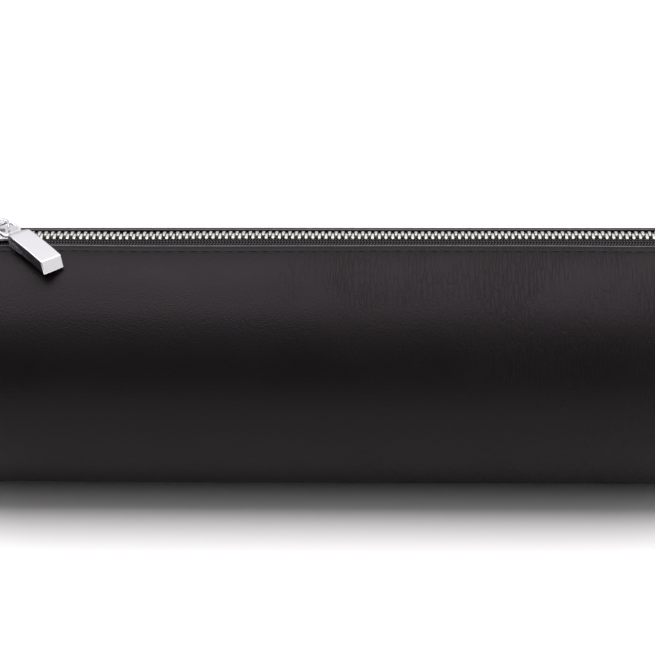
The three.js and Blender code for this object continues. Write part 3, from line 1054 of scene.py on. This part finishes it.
# %% [markdown]
# ## Pull
# The pull is a heavy bar with a gently arched top, crisp polished bevels and an eye that tapers round the
# crown. It is drawn lying along X with its rod at the origin, and then laid over the front lip.

# %% Pull
PULL_YAW, PULL_PITCH = math.radians(-44), math.radians(12)
PULL_WIDTH = 6.6 * MM
BAR_OVER, BAR_UNDER, FOOT_UNDER = 1.8 * MM, 1.2 * MM, 1.7 * MM
NECK_START, BAR_START = 5.6 * MM, 8.4 * MM
BAR_TOP_END, BAR_FOOT_END = 22.1 * MM, 23.8 * MM
NECK_HALF = 2 * MM
EYE_THICK = 0.9 * MM
ROD_HALF = 0.4 * MM
EYE_HALF, HOLE_HALF = 3.1 * MM, 2.45 * MM
HOLE_END = 5 * MM


def eye_plate():
    """A flat loop: rounded at the rod, and running into the neck at the other end."""
    around = 48

    def ring(x0, x1, half, z):
        middle, reach = (x0 + x1) / 2, (x1 - x0) / 2
        found = []
        for i in range(around):
            a = 2 * math.pi * i / around
            c, s = math.cos(a), math.sin(a)
            x = reach * math.copysign(abs(c) ** 0.55, c)
            y = half * math.copysign(abs(s) ** 0.55, s)
            found.append((middle + x, y, z))
        return found

    z = EYE_THICK / 2
    outer = (-ROD_HALF, HOLE_END + 1.1 * MM, EYE_HALF)
    inner = (ROD_HALF, HOLE_END, HOLE_HALF)
    rings = [ring(*outer, z), ring(*inner, z), ring(*inner, -z), ring(*outer, -z)]
    verts = [v for r in rings for v in r]
    faces = []
    for r in range(4):
        a, b = r * around, ((r + 1) % 4) * around
        for i in range(around):
            k = (i + 1) % around
            faces.append((a + i, a + k, b + k, b + i))
    return soften(new_object("eye", verts, faces, smooth=False), 0.2 * MM, 3, angle=50)


def half_width(x):
    t = (x - NECK_START) / (BAR_START - NECK_START)
    return NECK_HALF + (PULL_WIDTH / 2 - NECK_HALF) * smooth_step(t)


def bar():
    """The side view is carried across the bar, and then its sides are drawn in to the neck."""
    half = EYE_THICK / 2
    neck_x = NECK_START - 0.1 * MM
    xs = spaced(neck_x, BAR_START, 0.5 * MM)
    rise = [(x, smooth_step((x - neck_x) / (BAR_START - neck_x))) for x in xs]
    over = [(x, half + (BAR_OVER - half) * t) for x, t in rise]
    for i in range(1, 13):
        t = i / 12
        x = BAR_START + (BAR_TOP_END - BAR_START) * t
        over.append((x, BAR_OVER + 0.6 * MM * t * (1 - t) - 0.3 * MM * t**2))
    belly = BAR_START + 0.62 * (BAR_FOOT_END - BAR_START)
    foot = [(BAR_FOOT_END, -FOOT_UNDER), (belly, -BAR_UNDER)]
    under = [(x, -half - (BAR_UNDER - half) * t) for x, t in reversed(rise)]
    outline = over + foot + under
    made = upright("bar", outline, -PULL_WIDTH / 2, PULL_WIDTH / 2)
    for v in made.data.vertices:
        v.co.y *= half_width(v.co.x) / (PULL_WIDTH / 2)
    return soften(made, 0.26 * MM, 3, angle=32)


pull = joined("pull", [eye_plate(), bar()])
turn = Matrix.Rotation(PULL_YAW, 4, "Z") @ Matrix.Rotation(PULL_PITCH, 4, "Y")
pull.data.transform(Matrix.Translation(PIVOT) @ turn)
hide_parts("pull_bar")
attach(pull, "pull")
dress(pull, chrome)
print("pull:", len(pull.data.polygons), "faces")

# %% [markdown]
# ## Floor, light and camera
# The case lies on a pale sweep under one wide soft light, with the room dim in front of it, so the hide
# is bright along its top, deep at eye level and lifts again where the floor shines back.

# %% Floor
bpy.ops.mesh.primitive_grid_add(x_subdivisions=8, y_subdivisions=8, size=6.0)
floor = bpy.context.object
floor.name = "floor"
paper, tree, shader = finish("pale_paper", {"Roughness": 0.9, "Specular IOR Level": 0.1})
shader.inputs["Base Color"].default_value = (0.93, 0.915, 0.92, 1)
floor.data.materials.append(paper)

# %% Light
scene = bpy.context.scene
scene.view_settings.view_transform = "Standard"
world = bpy.data.worlds.new("soft_room")
scene.world = world
world.use_nodes = True
sky = world.node_tree
direction = node(sky, "TexCoord").outputs["Generated"]
facing = node(sky, "VectorMath", operation="DOT_PRODUCT", links={0: direction})
facing.inputs[1].default_value = (0.14, 0.40, 0.905)
falloff = {"From Min": -0.25, "From Max": 1.0, "To Min": 0.0, "To Max": 1.0}
glow = node(sky, "MapRange", falloff, {0: facing.outputs["Value"]})
sky.links.new(glow.outputs[0], sky.nodes["Background"].inputs["Strength"])
sky.nodes["Background"].inputs["Color"].default_value = (1, 0.99, 1, 1)


def area_light(name, place, aim, size, power):
    lamp = bpy.data.lights.new(name, "AREA")
    lamp.shape = "RECTANGLE"
    lamp.size, lamp.size_y = size
    lamp.energy = power
    obj = bpy.data.objects.new(name, lamp)
    obj.location = place
    obj.rotation_euler = (Vector(aim) - Vector(place)).to_track_quat("-Z", "Y").to_euler()
    bpy.context.collection.objects.link(obj)
    return obj


area_light("overhead", (0.0, -0.05, 0.95), (0, 0, 0.03), (1.4, 0.7), 9.4)
area_light("side_panel", (1.0, -0.25, 0.25), (0, 0, 0.1), (1.7, 1.1), 2.9)

# %% Camera
CAMERA_LENS = 110
CAMERA_DISTANCE = 0.555
CAMERA_ELEVATION = math.radians(27)
CAMERA_AZIMUTH = math.radians(2.2)
CAMERA_ROLL = math.radians(-0.9)
AIM = Vector((-0.0017, 0.0, AXIS_Z + 0.0093))
back = Vector(
    (
        math.sin(CAMERA_AZIMUTH) * math.cos(CAMERA_ELEVATION),
        -math.cos(CAMERA_AZIMUTH) * math.cos(CAMERA_ELEVATION),
        math.sin(CAMERA_ELEVATION),
    )
)
camera_data = bpy.data.cameras.new("camera")
camera_data.lens = CAMERA_LENS
camera_data.sensor_width = 36
camera = bpy.data.objects.new("camera", camera_data)
camera.location = AIM + back * CAMERA_DISTANCE
look = (-back).to_track_quat("-Z", "Y").to_matrix().to_4x4() @ Matrix.Rotation(CAMERA_ROLL, 4, "Z")
camera.rotation_euler = look.to_euler()
bpy.context.collection.objects.link(camera)
scene.camera = camera
